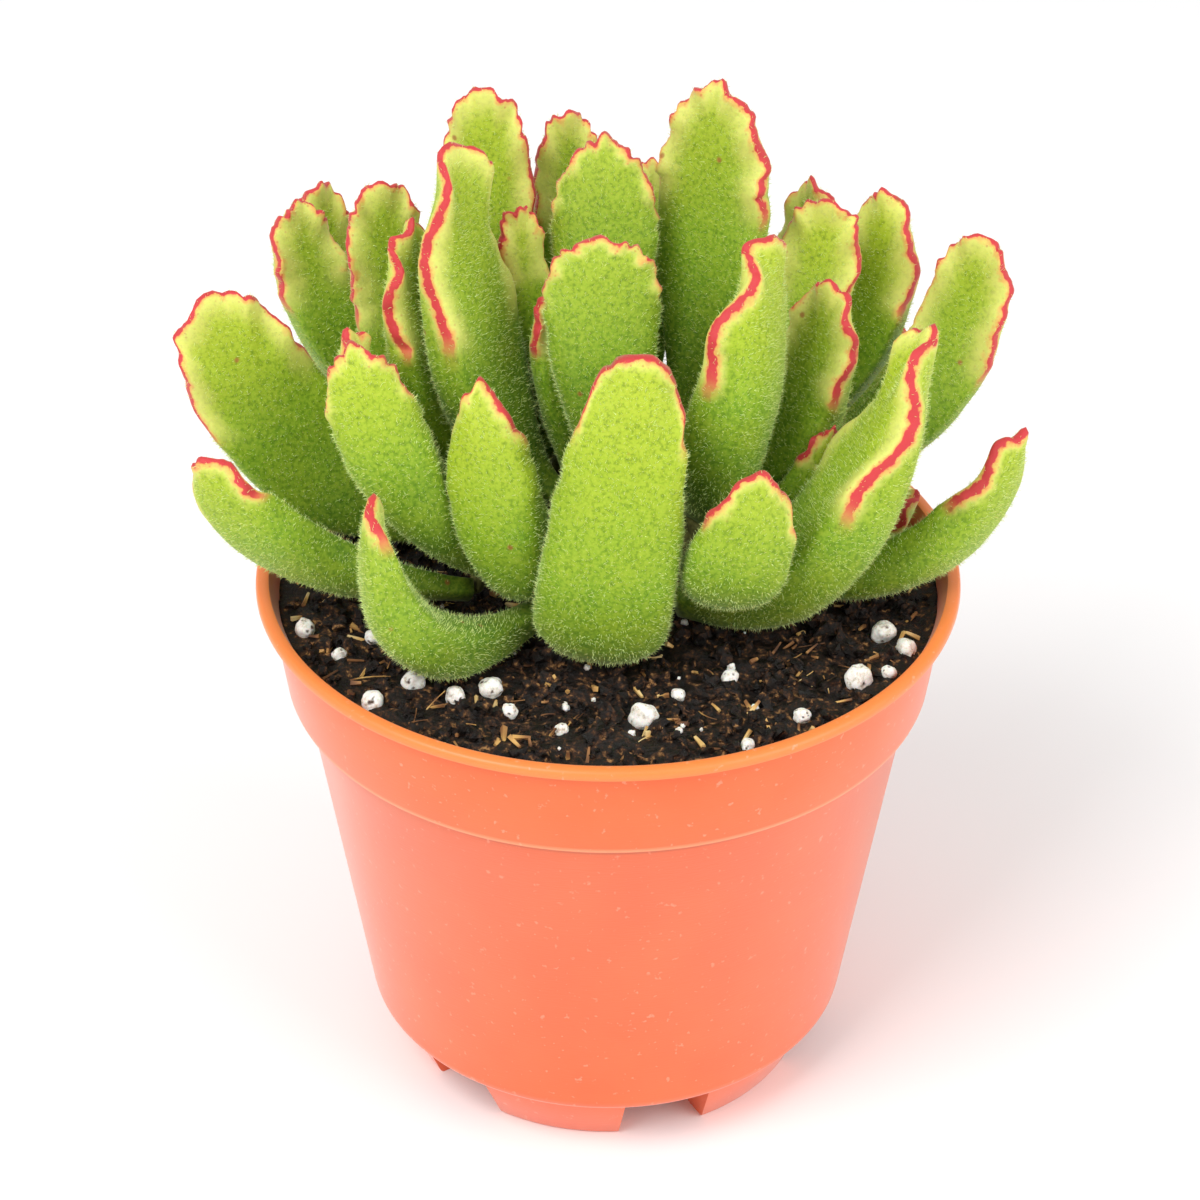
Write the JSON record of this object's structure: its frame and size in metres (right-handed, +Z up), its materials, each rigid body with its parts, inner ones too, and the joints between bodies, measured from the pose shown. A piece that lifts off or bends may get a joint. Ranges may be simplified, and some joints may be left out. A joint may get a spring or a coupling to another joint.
{
  "type": "potted succulent plant",
  "caption": "Potted Cotyledon: thick velvety green leaves with waved red edges on short stems, in potting mix with perlite, in a round tapered plastic nursery pot on feet.",
  "frame": {"origin": "on the pot's axis, on the surface that its feet stand on", "axes": "+Z up along the pot's axis, the front of the plant towards -Y, +X to the right seen from the front"},
  "size_m": [0.1226, 0.105, 0.1525],
  "materials": {
    "pot_plastic": "satin moulded polypropylene, terracotta orange, slightly translucent",
    "potting_mix": "dark brown peat with fibres and bark crumbs, matt",
    "stem": "olive brown, short velvety hairs",
    "leaf": "fleshy yellow-green, velvety with short white hairs, waved edge thin and red",
    "perlite": "off-white, matt, porous"
  },
  "bodies": {
    "root": {"pot": "pot_plastic", "soil": "potting_mix", "stems": "stem", "leaf_front": "leaf", "leaf_front_left": "leaf", "leaf_front_left_inner": "leaf", "leaf_low_left": "leaf", "leaf_left_low": "leaf", "leaf_left_big": "leaf", "leaf_left_back": "leaf", "leaf_left_back_far": "leaf", "leaf_left_scalloped": "leaf", "leaf_left_edge_on": "leaf", "leaf_left_inner": "leaf", "leaf_tall_edge_on": "leaf", "leaf_tall_back": "leaf", "leaf_back_middle": "leaf", "leaf_middle_back": "leaf", "leaf_middle": "leaf", "leaf_tall_right": "leaf", "leaf_right_upright": "leaf", "leaf_front_right_short": "leaf", "leaf_right_big": "leaf", "leaf_right_low": "leaf", "leaf_right_back": "leaf", "leaf_right_back_far": "leaf", "leaf_right_crested": "leaf", "leaf_right_crested_far": "leaf", "leaf_right_inner": "leaf", "leaf_right_small": "leaf", "leaf_middle_left_thin": "leaf", "leaf_middle_low": "leaf", "leaf_back_right_thin": "leaf", "leaf_right_narrow": "leaf", "leaf_back_low_left": "leaf", "leaf_back_low": "leaf", "leaf_back_low_right": "leaf", "leaf_back_side_right": "leaf", "leaf_back_side_left": "leaf", "perlite_1": "perlite", "perlite_2": "perlite", "perlite_3": "perlite", "perlite_4": "perlite", "perlite_5": "perlite", "perlite_6": "perlite", "perlite_7": "perlite", "perlite_8": "perlite", "perlite_9": "perlite", "perlite_10": "perlite", "perlite_11": "perlite", "perlite_12": "perlite", "perlite_13": "perlite", "perlite_14": "perlite", "perlite_15": "perlite", "perlite_16": "perlite", "perlite_17": "perlite", "perlite_18": "perlite"}
  },
  "joints": []
}
